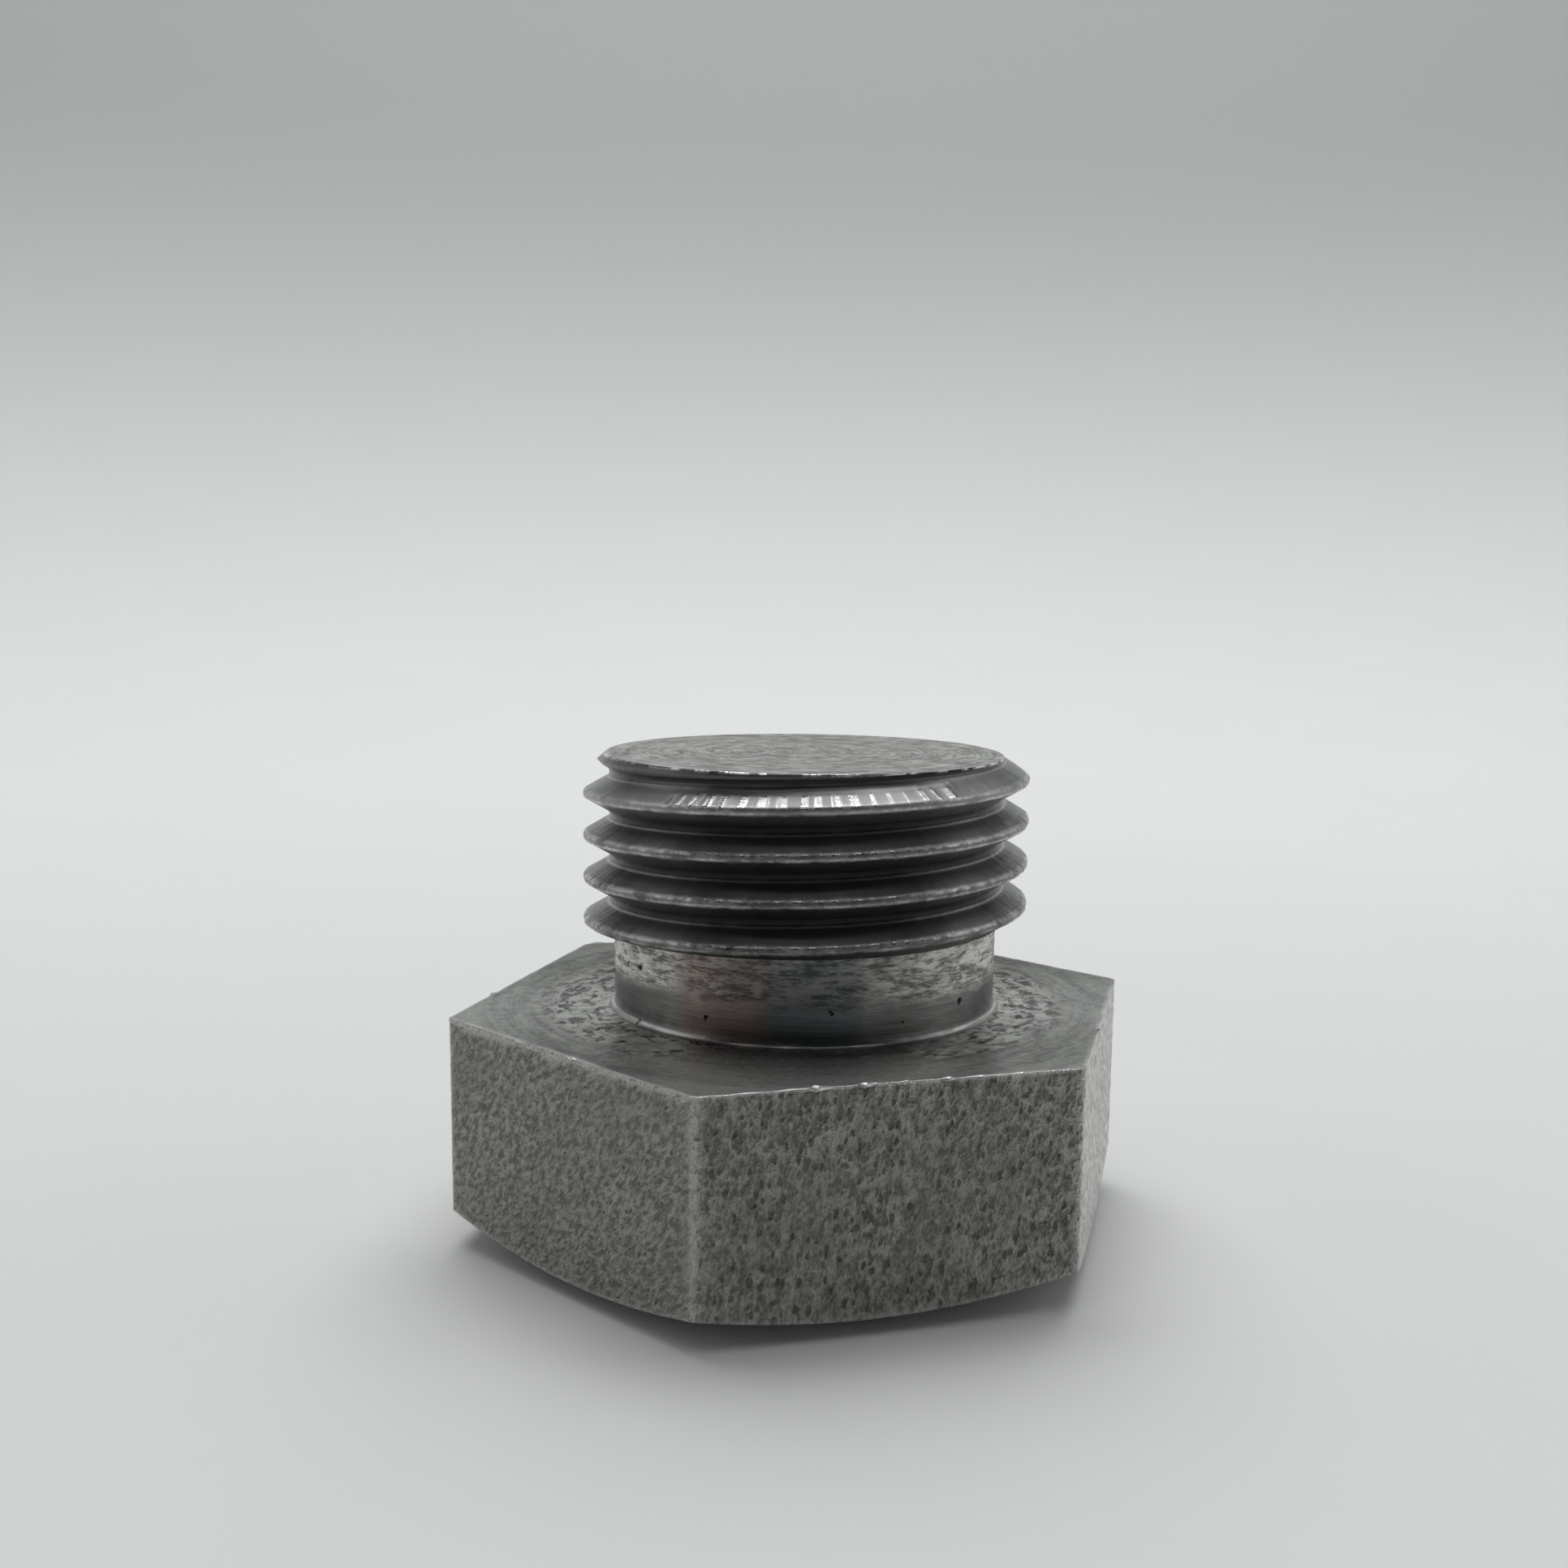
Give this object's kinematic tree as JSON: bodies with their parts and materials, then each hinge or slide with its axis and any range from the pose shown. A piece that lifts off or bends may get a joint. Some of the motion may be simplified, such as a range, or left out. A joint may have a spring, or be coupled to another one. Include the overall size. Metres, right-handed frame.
{
  "type": "hex head plug",
  "caption": "Solid hexagon head plug with a plain relief neck and a short external thread, for closing a threaded port.",
  "frame": {"origin": "centre of the hexagon head's free face, which the plug stands on", "axes": "+Z along the thread axis from the head towards the thread end, +X through a corner of the hexagon, +Y square to a pair of flats"},
  "size_m": [0.0254, 0.022, 0.0173],
  "materials": {
    "bare_steel": "bare turned steel, matt and dull on the hexagon flats, semi-bright on the turned faces"
  },
  "bodies": {
    "root": {"plug_body": "bare_steel"}
  },
  "joints": []
}
